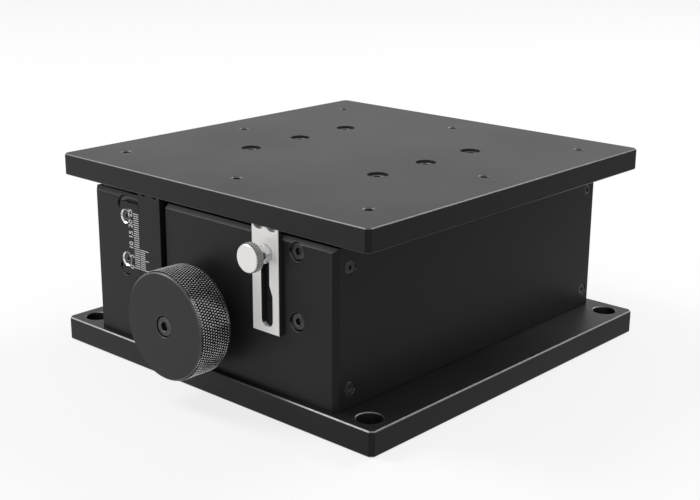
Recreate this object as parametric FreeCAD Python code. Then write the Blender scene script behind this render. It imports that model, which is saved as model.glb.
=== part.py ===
"""Z-axis stage: a wedge on crossed rollers lifts a square table by 25 mm."""
import FreeCAD, Part
import math
import os
from FreeCAD import Matrix, Placement, Rotation, Vector

os.makedirs("parts", exist_ok=True)

# All lengths are in millimetres, and Z = 0 is the underside of the base.
# The front, with the knob and the scale, faces -Y. The stage is at its lowest position.

# Outer sizes
base_width = 194.0
base_depth = 194.0
base_thickness = 11.0
table_width = 188.0
table_depth = 193.6
table_thickness = 10.0
table_top = 91.5
body_width = 150.0
body_front = 94.0
body_depth = 184.0
table_gap = 2.5
corner_chamfer = 1.8
edge_chamfer = 0.5

# Travel, and the wedge's rise for its run
travel = 25.0
wedge_rise_ratio = 0.5

# How far a cutting shape runs past a face, a blind hole past its screw, and the tests' tolerance
overcut = 1.0
hole_over = 1.0
touch = 0.01

# End plates, walls and covers
front_plate_thickness = 15.0
rear_plate_thickness = 12.0
cover_thickness = 3.0
front_rim = 2.0
wall_thickness = 12.0
wall_drop = 1.0
seam = 0.05
cover_chamfer = 0.3

# Crossed-roller guides: rail section, gap between a pair of rails, roller and cage
rail_width = 6.3
rail_height = 8.0
guide_gap = 1.4
roller_diameter = 3.0
roller_clearance = 0.03
roller_length = 2.8
roller_pitch = 5.0
cage_thickness = 0.7
cage_height = 6.6
cage_end = 2.5
cage_window_gap = 0.1

# Guide lengths and places
base_web_half = 4.0
base_guide_height = 16.0
base_rail_length = 144.0
wedge_rail_length = 78.0
base_cage_rollers = 11
incline_rail_length = 84.0
incline_cage_rollers = 11
side_rail_pitch = 56.0
lift_rail_length = 48.0
lift_rail_bottom = 16.0
wall_rail_length = 62.0
wall_rail_bottom = 14.0
side_cage_rollers = 7
rail_pocket_gap = 0.05
web_drop = 0.6

# Wedge
wedge_length = 80.0
wedge_front_rest = -15.0
wedge_centre_height = 50.0
wedge_side_wall = 1.0
wedge_crown = 73.0
wedge_relief = 0.6

# Lift block under the table
cheek_thickness = 13.0
cheek_length = 90.0
cheek_bottom = 14.0
roof_length = 124.0
roof_thickness = 7.3
wall_gap = 2.0

# Lead screw, its bearings and the nut
screw_height = 35.5
screw_diameter = 10.0
journal_diameter = 8.0
bearing_outer = 22.0
bearing_width = 7.0
bearing_inner_ring = 11.6
bearing_outer_ring = 18.4
ball_diameter = 3.9
ball_count = 9
shaft_hole = 12.4
screw_collar = 11.5
screw_collar_width = 3.5
retainer_diameter = 36.0
retainer_thickness = 4.0
retainer_bore = 14.0
retainer_circle = 28.0
retainer_screw_length = 9.0
rear_bush_outer = 14.0
rear_bush_flange = 19.0
rear_bush_flange_width = 2.0
rear_skin = 2.0
shaft_end_gap = 0.5
knob_bore_gap = 0.1
running_fit = 0.04
nut_body = 18.0
nut_flange = 28.0
nut_flange_width = 6.0
nut_body_length = 22.0
nut_circle = 22.5
nut_screw_length = 10.0
wedge_bore = 13.0
thread_fit = 0.08

# Hand knob
knob_diameter = 47.4
knob_length = 17.0
knob_gap = 7.0
knob_chamfer = 0.6
knob_wall = 2.6
knob_recess_diameter = 9.3
knob_recess_depth = 5.4
knob_screw_length = 12.0
spacer_diameter = 11.0

# Table holes
small_hole_pitch = 75.0
small_hole_diameter = 4.2
small_hole_chamfer = 0.6
table_screw_x = 39.5
table_screw_middle = 4.0
table_screw_pitch = 33.0
table_counterbore = 9.4
table_counterbore_depth = 6.0
table_screw_length = 16.0

# Base holes
base_hole_pitch = 174.0
base_hole_diameter = 6.6
base_counterbore = 11.0
base_counterbore_depth = 6.5
base_hole_chamfer = 0.4

# Scale, vernier and clamp plate at the front
scale_left = -54.6
scale_bottom = 42.8
scale_top = 75.6
scale_thickness = 1.4
scale_screw_x = -50.6
scale_screw_heights = (49.4, 69.2)
scale_screw_length = 8.0
vernier_x = -34.6
vernier_width = 14.4
vernier_bottom = 36.0
vernier_thickness = 3.0
vernier_side_gap = 0.2
slot_right_gap = 2.2
slot_depth = 6.0
plate_screw_pitch = 7.5
plate_screw_drop = 1.7
plate_screw_length = 7.0
plate_counterbore = 6.2
arm_width = 14.2
arm_height = 7.0
arm_over_body = 1.2
arm_reach_in = 45.0
arm_screw_places = (-49.5, -57.0)
arm_screw_length = 9.5
pocket_clearance = 0.15
clamp_x = 38.6
clamp_width = 15.2
clamp_bottom = 37.0
clamp_thickness = 2.2
clamp_gap = 0.1
clamp_plate_chamfer = 0.25
clamp_slot_bottom = 39.5
clamp_slot_narrow = 4.7
clamp_slot_wide = 6.4
clamp_slot_bend = (53.0, 57.5)
clamp_slot_top_margin = 4.0
clamp_screw_height = 70.6

# Thumb screw
thumb_head_diameter = 12.4
thumb_head_width = 4.0
thumb_head_chamfer = 0.3
thumb_collar_diameter = 8.4
thumb_collar_width = 3.0
thumb_neck_diameter = 6.4
thumb_neck_width = 1.7
thumb_thread = 4.0
thumb_thread_length = 12.0
clamp_washer_diameter = 8.0
clamp_washer_width = 1.0
clamp_washer_bore = 4.3
clamp_face_gap = 0.3

# Screws: thread, and the head's diameter, height and key width
m2_5 = 2.5
m3 = 3.0
m4 = 4.0
m5 = 5.0
screw_fit = 0.05
head_fit = 0.3
head_chamfer_ratio = 0.08
socket_depth_ratio = 0.55
cap_sizes = {
    m2_5: (4.5, 2.5, 2.0),
    m3: (5.5, 3.0, 2.5),
    m4: (7.0, 4.0, 3.0),
    m5: (8.5, 5.0, 4.0),
}
low_head_sizes = {
    m2_5: (4.6, 1.5, 1.5),
    m3: (5.8, 1.8, 2.0),
}
low_head_sink = 0.2
low_head_room = 3.0
front_screw_x = 54.0
front_screw_heights = (44.6, 73.9)
front_screw_length = 22.0
front_counterbore = 8.0
front_counterbore_depth = 4.8
rear_screw_length = 20.0
cover_screw_heights = (19.5, 70.0)
cover_screw_length = 10.0
cover_screw_front = 85.4
cover_screw_rear = 85.0
cover_head_sink = 0.3
foot_screw_length = 16.0
foot_counterbore_depth = 5.4
end_foot_screw_x = 60.0
wall_foot_screw_y = 50.0
rail_screw_length = 10.0
rail_screw_end = 7.0
rail_head_sink = 0.1
wall_rail_screw_length = 5.5
wall_rail_head_depth = 3.3
lift_rail_screw_length = 14.0
lift_rail_head_depth = 2.8

# Places that follow from the sizes above
table_bottom = table_top - table_thickness
body_top = table_bottom - table_gap
wall_top = body_top - wall_drop
body_rear = body_depth - body_front
front_inner = -body_front + front_plate_thickness
rear_inner = body_rear - rear_plate_thickness
cover_inner = body_width / 2 - cover_thickness
incline = math.atan(wedge_rise_ratio)
rail_half = rail_height / 2
groove_apex = roller_diameter / math.sqrt(2)
rail_back = guide_gap / 2 + rail_width
base_guide_x = base_web_half + rail_back
wedge_half = base_guide_x + rail_back + wedge_side_wall
incline_guide_x = wedge_half + rail_back
cheek_inner = incline_guide_x + rail_back
cheek_outer = cheek_inner + cheek_thickness
side_guide_x = cheek_outer + wall_gap / 2
wall_inner = cheek_outer + wall_gap
wall_outer = wall_inner + wall_thickness
roof_bottom = table_bottom - roof_thickness
ledge_rise = rail_half / math.cos(incline)
wedge_rear_rest = wedge_front_rest + wedge_length
wedge_centre_rest = wedge_front_rest + wedge_length / 2
wedge_bottom = base_guide_height + rail_half
arm_bottom = body_top + arm_over_body
arm_top = arm_bottom + arm_height
plate_screw_height = table_bottom + plate_screw_drop
vernier_face = -body_front - scale_thickness
vernier_back = vernier_face + vernier_thickness
clamp_back = -body_front - clamp_gap
clamp_face = clamp_back - clamp_thickness
knob_back = -body_front - knob_gap
knob_face = knob_back - knob_length
knob_seat = knob_face + knob_recess_depth
knob_bore_front = knob_seat + knob_wall
rail_hole_across = (groove_apex + rail_back) / 2

X_AXIS = Vector(1, 0, 0)
Y_AXIS = Vector(0, 1, 0)
Z_AXIS = Vector(0, 0, 1)
up_the_wedge = Vector(0, math.cos(incline), math.sin(incline))

nodes = {}


# Basic shapes

def box(x0, x1, y0, y1, z0, z1):
    return Part.makeBox(x1 - x0, y1 - y0, z1 - z0, Vector(x0, y0, z0))


def both_sides(shape):
    return [shape, mirrored(shape)]


def mirrored(shape):
    return shape.mirror(Vector(0, 0, 0), X_AXIS)


def rod(diameter, start, direction, length):
    return Part.makeCylinder(diameter / 2, length, start, direction)


def along_y(diameter, x, z, y0, y1):
    return rod(diameter, Vector(x, y0, z), Y_AXIS, y1 - y0)


def prism_yz(points, x0, x1):
    """A solid from x0 to x1 whose outline in Y and Z is the given points."""
    wire = Part.makePolygon([Vector(x0, y, z) for y, z in points + points[:1]])
    return Part.Face(wire).extrude(Vector(x1 - x0, 0, 0))


def prism_xz(points, y0, y1):
    """A solid from y0 to y1 whose outline in X and Z is the given points."""
    wire = Part.makePolygon([Vector(x, y0, z) for x, z in points + points[:1]])
    return Part.Face(wire).extrude(Vector(0, y1 - y0, 0))


def cut(shape, tools):
    """The shape without the tools, as one clean solid."""
    result = shape.cut(Part.makeCompound(tools)).removeSplitter()
    return result.Solids[0] if len(result.Solids) == 1 else result


def fuse(shapes):
    return shapes[0].fuse(shapes[1:]).removeSplitter().Solids[0]


def chamfer_edges(shape, size, wanted):
    """Chamfers the edges whose two ends both pass the wanted test."""
    edges = [e for e in shape.Edges if all(wanted(v.Point) for v in e.Vertexes)]
    return shape.makeChamfer(size, edges) if edges else shape


def slab(width, depth, z0, z1):
    """A plate centred on Z, with chamfered corners and broken top and bottom edges."""
    body = box(-width / 2, width / 2, -depth / 2, depth / 2, z0, z1)
    uprights = [e for e in body.Edges if abs(e.tangentAt(e.FirstParameter).z) > 0.9]
    body = body.makeChamfer(corner_chamfer, uprights)
    rims = [e for e in body.Edges if abs(e.tangentAt(e.FirstParameter).z) < 0.1]
    return body.makeChamfer(edge_chamfer, rims)


def aimed(shape, at, outward):
    """Moves a shape made along Z, so that +Z points outward and its origin is at a point."""
    placed = shape.copy()
    placed.Placement = Placement(at, Rotation(Z_AXIS, outward)).multiply(shape.Placement)
    return placed


def in_frame(shape, along, across, at):
    """Moves a shape from guide axes (along, across, height) into the stage."""
    height = along.cross(across)
    matrix = Matrix(along.x, across.x, height.x, at.x, along.y, across.y, height.y, at.y,
                    along.z, across.z, height.z, at.z, 0, 0, 0, 1)
    placed = shape.copy()
    placed.Placement = Placement(matrix).multiply(shape.Placement)
    return placed


# Screws and the holes that they need

def hex_prism(across_flats, depth):
    radius = across_flats / math.sqrt(3)
    points = [Vector(radius * math.cos(k * math.pi / 3), radius * math.sin(k * math.pi / 3), 0)
              for k in range(7)]
    return Part.Face(Part.makePolygon(points)).extrude(Vector(0, 0, depth))


def socket_screw(thread, length, sizes):
    """A socket screw whose head sits on Z = 0 and whose shank points to -Z."""
    head_diameter, head_height, key = sizes[thread]
    head = Part.makeCylinder(head_diameter / 2, head_height)
    rim = [e for e in head.Edges if e.Closed and e.CenterOfMass.z > head_height / 2]
    head = head.makeChamfer(thread * head_chamfer_ratio, rim)
    socket_depth = head_height * socket_depth_ratio
    socket = hex_prism(key, socket_depth)
    socket.translate(Vector(0, 0, head_height - socket_depth))
    shank = Part.makeCylinder(thread / 2, length, Vector(0, 0, -length))
    return head.fuse(shank).cut(socket).removeSplitter().Solids[0]


def screw_room(thread, length, recess_diameter, recess_depth):
    """The hole for a screw: a bore with a recess above the head's seat at Z = 0."""
    depth = length + hole_over
    bore = Part.makeCylinder(thread / 2 + screw_fit, depth, Vector(0, 0, -depth))
    recess = Part.makeCylinder(recess_diameter / 2, recess_depth)
    return bore.fuse(recess)


def screws_and_rooms(thread, length, places, outward, sizes, recess_depth, recess_diameter=None):
    """Screws with their heads seated at the places, and the holes for them."""
    if recess_diameter is None:
        recess_diameter = sizes[thread][0] + head_fit
    screw = socket_screw(thread, length, sizes)
    room = screw_room(thread, length, recess_diameter, recess_depth)
    return ([aimed(screw, place, outward) for place in places],
            [aimed(room, place, outward) for place in places])


# Crossed-roller guides, in guide axes: X along, Y across the gap, Z the height

def rail_bar(length):
    """A rail on the far side of the gap, with its 90 degree groove facing the gap."""
    near = guide_gap / 2
    mouth = groove_apex - near
    outline = [(near, -rail_half), (near, -mouth), (groove_apex, 0), (near, mouth),
               (near, rail_half), (rail_back, rail_half), (rail_back, -rail_half)]
    wire = Part.makePolygon([Vector(-length / 2, y, z) for y, z in outline + outline[:1]])
    return Part.Face(wire).extrude(Vector(length, 0, 0))


def turned_rail(rail):
    """The same rail on the near side of the gap."""
    other = rail.copy()
    other.rotate(Vector(0, 0, 0), X_AXIS, 180)
    return other


def rail_screw_stations(length, count):
    reach = length - 2 * rail_screw_end
    return [-reach / 2 + k * reach / (count - 1) for k in range(count)]


def rail_with_screws(length, count, head_side, near_side=False):
    """A rail held through its height: the rail, its screws and their holes in guide axes."""
    recess = cap_sizes[m2_5][1] + rail_head_sink
    seat = head_side * (rail_half - recess)
    across = -rail_hole_across if near_side else rail_hole_across
    places = [Vector(s, across, seat) for s in rail_screw_stations(length, count)]
    screws, rooms = screws_and_rooms(m2_5, rail_screw_length, places, Vector(0, 0, head_side),
                                     cap_sizes, recess)
    rail = rail_bar(length)
    if near_side:
        rail = turned_rail(rail)
    return cut(rail, rooms), screws, rooms


def roller_places(count):
    return [(k - (count - 1) / 2) * roller_pitch for k in range(count)]


def crossed_rollers(count):
    """Rollers in a row, each turned by 90 degrees from the one before."""
    rollers = []
    for index, station in enumerate(roller_places(count)):
        lean = 1 if index % 2 == 0 else -1
        axis = Vector(0, 1, lean).normalize()
        start = Vector(station, 0, 0) - axis * (roller_length / 2)
        rollers.append(rod(roller_diameter - 2 * roller_clearance, start, axis, roller_length))
    return rollers


def cage_strip(count):
    """The flat cage, with a window for each roller."""
    half = (count - 1) / 2 * roller_pitch + roller_diameter / 2 + cage_end
    half_thick = cage_thickness / 2
    strip = box(-half, half, -half_thick, half_thick, -cage_height / 2, cage_height / 2)
    window_along = roller_diameter / 2 + cage_window_gap
    window_up = (roller_diameter + roller_length) / 2 / math.sqrt(2) + cage_window_gap
    windows = [box(s - window_along, s + window_along, -cage_thickness, cage_thickness,
                   -window_up, window_up)
               for s in roller_places(count)]
    return cut(strip, windows)


def guide(along, across, rail_a, rail_b, cage_at, count):
    """A pair of rails and their cage in the stage. Rail A is on the near side of the gap.

    Each rail is (length, middle, screws, head side), and its screws may be none."""
    result = {}
    for key, (length, middle, screw_count, head_side) in (("a", rail_a), ("b", rail_b)):
        near_side = key == "a"
        if screw_count:
            rail, screws, rooms = rail_with_screws(length, screw_count, head_side, near_side)
        else:
            rail = turned_rail(rail_bar(length)) if near_side else rail_bar(length)
            screws, rooms = [], []
        result["rail_" + key] = in_frame(rail, along, across, middle)
        result["screws_" + key] = [in_frame(s, along, across, middle) for s in screws]
        result["rooms_" + key] = [in_frame(s, along, across, middle) for s in rooms]
    result["cage"] = in_frame(cage_strip(count), along, across, cage_at)
    result["rollers"] = [in_frame(r, along, across, cage_at) for r in crossed_rollers(count)]
    return result


# The three sets of guides, on the +X side

def base_guide():
    """Wedge on base: rail A stands on the base, and rail B hangs under the wedge."""
    at = base_guide_height
    cage_middle = wedge_centre_rest / 2
    return guide(-Y_AXIS, X_AXIS,
                 (base_rail_length, Vector(base_guide_x, 0, at), 6, 1),
                 (wedge_rail_length, Vector(base_guide_x, wedge_centre_rest, at), 4, -1),
                 Vector(base_guide_x, cage_middle, at), base_cage_rollers)


def incline_guide():
    """Lift block on wedge: rail A is on the wedge, and rail B is in the lift block."""
    wedge_middle = Vector(incline_guide_x, wedge_centre_rest, wedge_centre_height)
    lift_middle = wedge_middle - up_the_wedge * (wedge_centre_rest / math.cos(incline))
    return guide(-up_the_wedge, X_AXIS,
                 (incline_rail_length, wedge_middle, 4, 1),
                 (incline_rail_length, lift_middle, 4, -1),
                 (wedge_middle + lift_middle) * 0.5, incline_cage_rollers)


def side_guide(y):
    """Lift block between the walls: rail A is in the lift block, and rail B in the wall.

    The cage is in the middle of the height that both rails share when the table is up."""
    lift_middle = Vector(side_guide_x, y, lift_rail_bottom + lift_rail_length / 2)
    wall_middle = Vector(side_guide_x, y, wall_rail_bottom + wall_rail_length / 2)
    shared_low = lift_rail_bottom + travel
    shared_high = wall_rail_bottom + wall_rail_length
    cage_middle = Vector(side_guide_x, y, (shared_low + shared_high - travel) / 2)
    return guide(Z_AXIS, X_AXIS,
                 (lift_rail_length, lift_middle, 0, 1),
                 (wall_rail_length, wall_middle, 0, 1),
                 cage_middle, side_cage_rollers)


def side_rail_screws(y):
    """Screws into the back of a wall rail from outside, and into a lift rail from its end."""
    toward = 1 if y > 0 else -1
    wall_places = [Vector(wall_outer - wall_rail_head_depth, y, wall_rail_bottom + s)
                   for s in (rail_screw_end, wall_rail_length - rail_screw_end)]
    wall = screws_and_rooms(m3, wall_rail_screw_length, wall_places, X_AXIS, cap_sizes,
                            wall_rail_head_depth + overcut)
    lift_x = side_guide_x - rail_hole_across
    seat_y = toward * (cheek_length / 2 - lift_rail_head_depth)
    lift_places = [Vector(lift_x, seat_y, lift_rail_bottom + s)
                   for s in (rail_screw_end, lift_rail_length - rail_screw_end)]
    lift = screws_and_rooms(m2_5, lift_rail_screw_length, lift_places, Y_AXIS * toward, cap_sizes,
                            lift_rail_head_depth + overcut)
    return wall, lift


# Frame

def foot_screws():
    """Screws up through the base into the end plates and the walls."""
    front_y = (-body_front + front_inner) / 2
    rear_y = (body_rear + rear_inner) / 2
    wall_x = (wall_inner + wall_outer) / 2
    corners = [(end_foot_screw_x, front_y), (end_foot_screw_x, rear_y),
               (wall_x, -wall_foot_screw_y), (wall_x, wall_foot_screw_y)]
    places = [Vector(side * x, y, foot_counterbore_depth) for side in (-1, 1) for x, y in corners]
    return screws_and_rooms(m5, foot_screw_length, places, -Z_AXIS, cap_sizes,
                            foot_counterbore_depth + overcut)


def front_screws():
    seat = -body_front + front_counterbore_depth
    places = [Vector(side * front_screw_x, seat, z) for side in (-1, 1) for z in front_screw_heights]
    return screws_and_rooms(m4, front_screw_length, places, -Y_AXIS, cap_sizes,
                            front_counterbore_depth + overcut, front_counterbore)


def rear_screws():
    seat = body_rear - front_counterbore_depth
    places = [Vector(side * front_screw_x, seat, z) for side in (-1, 1) for z in front_screw_heights]
    return screws_and_rooms(m4, rear_screw_length, places, Y_AXIS, cap_sizes,
                            front_counterbore_depth + overcut, front_counterbore)


def cover_screws():
    """Low-head screws through both side covers into the ends of the end plates."""
    recess = low_head_sizes[m3][1] + cover_head_sink
    seat = body_width / 2 - recess
    screws, rooms = [], []
    for side in (-1, 1):
        places = [Vector(side * seat, y, z) for y in (-cover_screw_front, cover_screw_rear)
                  for z in cover_screw_heights]
        some, holes = screws_and_rooms(m3, cover_screw_length, places, X_AXIS * side,
                                       low_head_sizes, recess + overcut)
        screws += some
        rooms += holes
    return screws, rooms


def base_plate(rooms):
    """The base, with a central web and a seat on each side of it for the base rails."""
    plate = slab(base_width, base_depth, 0, base_thickness)
    rail_foot = base_guide_height - rail_half
    web_top = base_guide_height + rail_half - web_drop
    half = base_rail_length / 2
    seat_half = base_web_half + rail_width
    low = base_thickness - overcut
    seat = box(-seat_half, seat_half, -half, half, low, rail_foot)
    web = box(-base_web_half, base_web_half, -half, half, low, web_top)
    pitch = base_hole_pitch / 2
    radius = base_counterbore / 2
    holes = []
    for x in (-pitch, pitch):
        for y in (-pitch, pitch):
            holes.append(rod(base_hole_diameter, Vector(x, y, -overcut), Z_AXIS,
                             base_thickness + 2 * overcut))
            bottom = base_thickness - base_counterbore_depth
            holes.append(rod(base_counterbore, Vector(x, y, bottom), Z_AXIS, base_thickness))
            holes.append(Part.makeCone(radius, radius + base_hole_chamfer, base_hole_chamfer,
                                       Vector(x, y, base_thickness - base_hole_chamfer)))
    return cut(fuse([plate, seat, web]), holes + rooms)


def vernier_slot():
    left = vernier_x - vernier_width / 2 - vernier_side_gap
    right = vernier_x + vernier_width / 2 + slot_right_gap
    return box(left, right, -body_front - overcut, -body_front + slot_depth,
               vernier_bottom - overcut, body_top + overcut)


def front_plate(rooms):
    """The front plate: full width at its face, and stepped back behind it for the side covers."""
    half = body_width / 2
    plate = box(-half, half, -body_front, front_inner, base_thickness, body_top)
    beside = [e for e in plate.Edges if all(v.Y < -body_front + touch for v in e.Vertexes)
              and max(v.Z for v in e.Vertexes) > body_top - touch]
    plate = plate.makeChamfer(corner_chamfer, beside)
    steps = both_sides(box(cover_inner, half + overcut, -body_front + front_rim,
                           front_inner + overcut, base_thickness - overcut, body_top + overcut))
    bore = along_y(shaft_hole, 0, screw_height, -body_front - overcut, front_inner + overcut)
    bearing_seat = along_y(bearing_outer + 2 * running_fit, 0, screw_height,
                           front_inner - bearing_width, front_inner + overcut)
    clamp_hole = along_y(thumb_thread + 2 * screw_fit, clamp_x, clamp_screw_height,
                         -body_front - overcut, -body_front + thumb_thread_length + hole_over)
    return cut(plate, steps + [bore, bearing_seat, clamp_hole, vernier_slot()] + rooms)


def rear_plate(rooms):
    plate = box(-cover_inner, cover_inner, rear_inner, body_rear, base_thickness, body_top)
    plate = chamfer_edges(plate, edge_chamfer, lambda p: p.y > body_rear - touch)
    bush_seat = along_y(rear_bush_outer, 0, screw_height, rear_inner - overcut, body_rear - rear_skin)
    return cut(plate, [bush_seat] + rooms)


def side_wall(pockets, rooms):
    wall = box(wall_inner, wall_outer, front_inner, rear_inner, base_thickness, wall_top)
    return cut(wall, pockets + rooms)


def wall_pocket(y):
    """The upright slot in a wall for one rail."""
    half = rail_half + rail_pocket_gap
    return box(wall_inner - overcut, side_guide_x + rail_back, y - half, y + half,
               wall_rail_bottom, wall_rail_bottom + wall_rail_length)


def side_cover(rooms):
    cover = box(cover_inner, body_width / 2, -body_front + front_rim + seam, body_rear,
                base_thickness + seam, body_top)
    cover = chamfer_edges(cover, cover_chamfer, lambda p: p.x > body_width / 2 - touch)
    return cut(cover, rooms)


# Wedge

def wedge_line(y):
    """Height of the middle of the inclined guides at rest."""
    return wedge_centre_height + (y - wedge_centre_rest) * wedge_rise_ratio


def wedge_block(rooms):
    """A narrow crown between the inclined rails, on a wide foot that carries them."""
    front, rear = wedge_front_rest, wedge_rear_rest
    ledge = [(front, wedge_bottom), (rear, wedge_bottom),
             (rear, wedge_line(rear) - ledge_rise), (front, wedge_line(front) - ledge_rise)]
    wide = wedge_half + rail_width
    foot = prism_yz(ledge, -wide, wide)
    crown_rise = wedge_crown - ledge_rise - wedge_centre_height
    crown_end = wedge_centre_rest + crown_rise / wedge_rise_ratio
    crown = prism_yz([(front, wedge_bottom), (rear, wedge_bottom), (rear, wedge_crown),
                      (crown_end, wedge_crown), (front, wedge_line(front) + ledge_rise)],
                     -wedge_half, wedge_half)
    relief_half = base_guide_x + guide_gap / 4
    relief = box(-relief_half, relief_half, front - overcut, rear + overcut,
                 wedge_bottom - overcut, wedge_bottom + wedge_relief)
    bore = along_y(wedge_bore, 0, screw_height, front - overcut, rear + overcut)
    nut_seat = along_y(nut_body + 2 * screw_fit, 0, screw_height,
                       rear - nut_body_length, rear + overcut)
    return cut(fuse([foot, crown]), [relief, bore, nut_seat] + rooms)


def wedge_nut(rooms):
    """The nut's body is in the wedge, and its flange is on the wedge's rear face."""
    front = wedge_rear_rest - nut_body_length
    rear = wedge_rear_rest + nut_flange_width
    body = along_y(nut_body, 0, screw_height, front, wedge_rear_rest)
    flange = along_y(nut_flange, 0, screw_height, wedge_rear_rest, rear)
    bore = along_y(screw_diameter + 2 * thread_fit, 0, screw_height,
                   front - overcut, rear + overcut)
    return cut(fuse([body, flange]), [bore] + rooms)


def round_the_screw(circle, y):
    """Four places on a circle round the lead screw's axis."""
    angles = [math.radians(45 + 90 * quarter) for quarter in range(4)]
    return [Vector(circle / 2 * math.cos(a), y, screw_height + circle / 2 * math.sin(a))
            for a in angles]


def nut_screws():
    seat = wedge_rear_rest + nut_flange_width - low_head_sizes[m2_5][1] - low_head_sink
    return screws_and_rooms(m2_5, nut_screw_length, round_the_screw(nut_circle, seat), Y_AXIS,
                            low_head_sizes, low_head_room)


# Lift block, table and what the table carries

def lift_block(pockets, rooms):
    """An upside-down U: two cheeks with inclined ledges inside, under a roof."""
    half = cheek_length / 2
    end = roof_length / 2
    into_roof = roof_bottom + overcut
    parts = [box(-cheek_outer, cheek_outer, -end, end, roof_bottom, table_bottom)]
    ledge_inner = incline_guide_x + guide_gap / 2
    ledge = [(-half, wedge_line(-half) + ledge_rise), (half, wedge_line(half) + ledge_rise),
             (half, into_roof), (-half, into_roof)]
    parts += both_sides(box(cheek_inner, cheek_outer, -half, half, cheek_bottom, into_roof))
    parts += both_sides(prism_yz(ledge, ledge_inner, cheek_inner + overcut))
    return cut(fuse(parts), pockets + rooms)


def cheek_pocket(y):
    """The upright slot in a cheek for one rail, open at the foot."""
    half = rail_half + rail_pocket_gap
    return box(side_guide_x - rail_back, cheek_outer + overcut, y - half, y + half,
               cheek_bottom - overcut, lift_rail_bottom + lift_rail_length)


def arm_pocket(x, front):
    """Room in the table's underside for an arm and the head of its front plate."""
    half = arm_width / 2 + pocket_clearance
    head_half = clamp_width / 2 + pocket_clearance
    top = arm_top + pocket_clearance
    low = table_bottom - overcut
    return [box(x - half, x + half, front, -arm_reach_in + pocket_clearance, low, top),
            box(x - head_half, x + head_half, front - pocket_clearance, -body_front + slot_depth,
                low, top)]


def table(rooms):
    plate = slab(table_width, table_depth, table_bottom, table_top)
    holes = []
    for i in (-1, 0, 1):
        for j in (-1, 0, 1):
            if i == 0 and j == 0:
                continue
            x, y = i * small_hole_pitch, j * small_hole_pitch
            holes.append(rod(small_hole_diameter, Vector(x, y, table_bottom - overcut), Z_AXIS,
                             table_thickness + 2 * overcut))
            radius = small_hole_diameter / 2
            holes.append(Part.makeCone(radius, radius + small_hole_chamfer, small_hole_chamfer,
                                       Vector(x, y, table_top - small_hole_chamfer)))
    pockets = arm_pocket(vernier_x, vernier_face) + arm_pocket(clamp_x, clamp_face)
    return cut(plate, holes + pockets + rooms)


def table_screws():
    seat = table_top - table_counterbore_depth
    places = [Vector(x, table_screw_middle + row * table_screw_pitch, seat)
              for x in (-table_screw_x, table_screw_x) for row in (-1, 0, 1)]
    return screws_and_rooms(m5, table_screw_length, places, Z_AXIS, cap_sizes,
                            table_counterbore_depth + overcut, table_counterbore)


def arm(x, front, rooms):
    """A bar let into the roof, which reaches forward over the front plate."""
    bar = box(x - arm_width / 2, x + arm_width / 2, front, -arm_reach_in, arm_bottom, arm_top)
    return cut(bar, rooms)


def arm_seat(x):
    half = arm_width / 2
    return box(x - half, x + half, -roof_length / 2 - overcut, -arm_reach_in,
               arm_bottom, table_bottom + overcut)


def arm_screws():
    seat = arm_top - low_head_sizes[m3][1] - low_head_sink
    places = [Vector(x, y, seat) for x in (vernier_x, clamp_x) for y in arm_screw_places]
    return screws_and_rooms(m3, arm_screw_length, places, Z_AXIS, low_head_sizes, low_head_room)


def plate_screws(x, face):
    """Two small screws that hold a front plate to the end of its arm."""
    seat = face + low_head_sizes[m2_5][1] + low_head_sink
    places = [Vector(x + side * plate_screw_pitch / 2, seat, plate_screw_height)
              for side in (-1, 1)]
    return screws_and_rooms(m2_5, plate_screw_length, places, -Y_AXIS, low_head_sizes,
                            low_head_room, plate_counterbore)


def scale_plate(rooms):
    right = vernier_x - vernier_width / 2 - vernier_side_gap
    plate = box(scale_left, right, vernier_face, -body_front, scale_bottom, scale_top)
    return cut(plate, rooms)


def scale_screws():
    seat = vernier_face + low_head_sizes[m3][1] + low_head_sink
    places = [Vector(scale_screw_x, seat, z) for z in scale_screw_heights]
    return screws_and_rooms(m3, scale_screw_length, places, -Y_AXIS, low_head_sizes, low_head_room)


def vernier_plate(rooms):
    half = vernier_width / 2
    plate = box(vernier_x - half, vernier_x + half, vernier_face, vernier_back,
                vernier_bottom, arm_top)
    return cut(plate, rooms)


def clamp_slot():
    """The clamp plate's slot: narrow above, and wider to the right below."""
    narrow = clamp_slot_narrow / 2
    left = clamp_x - narrow
    upper_right = clamp_x + narrow
    lower_right = left + clamp_slot_wide
    top = clamp_screw_height + clamp_slot_top_margin - narrow
    wide = clamp_slot_wide / 2
    low = clamp_slot_bottom + wide
    y0 = clamp_face - overcut
    corners = [(left, low), (left, top), (upper_right, top), (upper_right, clamp_slot_bend[1]),
               (lower_right, clamp_slot_bend[0]), (lower_right, low)]
    depth = clamp_thickness + 2 * overcut
    sides = prism_xz(corners, y0, y0 + depth)
    head = rod(clamp_slot_narrow, Vector(clamp_x, y0, top), Y_AXIS, depth)
    foot = rod(clamp_slot_wide, Vector(left + wide, y0, low), Y_AXIS, depth)
    return sides.fuse([head, foot])


def clamp_plate(rooms):
    half = clamp_width / 2
    plate = box(clamp_x - half, clamp_x + half, clamp_face, clamp_back, clamp_bottom, arm_top)
    plate = chamfer_edges(plate, clamp_plate_chamfer, lambda p: p.y < clamp_face + touch)
    return cut(plate, [clamp_slot()] + rooms)


# Clamp screw

def clamp_washer():
    y1 = clamp_face - clamp_face_gap
    y0 = y1 - clamp_washer_width
    ring = along_y(clamp_washer_diameter, clamp_x, clamp_screw_height, y0, y1)
    bore = along_y(clamp_washer_bore, clamp_x, clamp_screw_height, y0 - overcut, y1 + overcut)
    return cut(ring, [bore])


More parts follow.
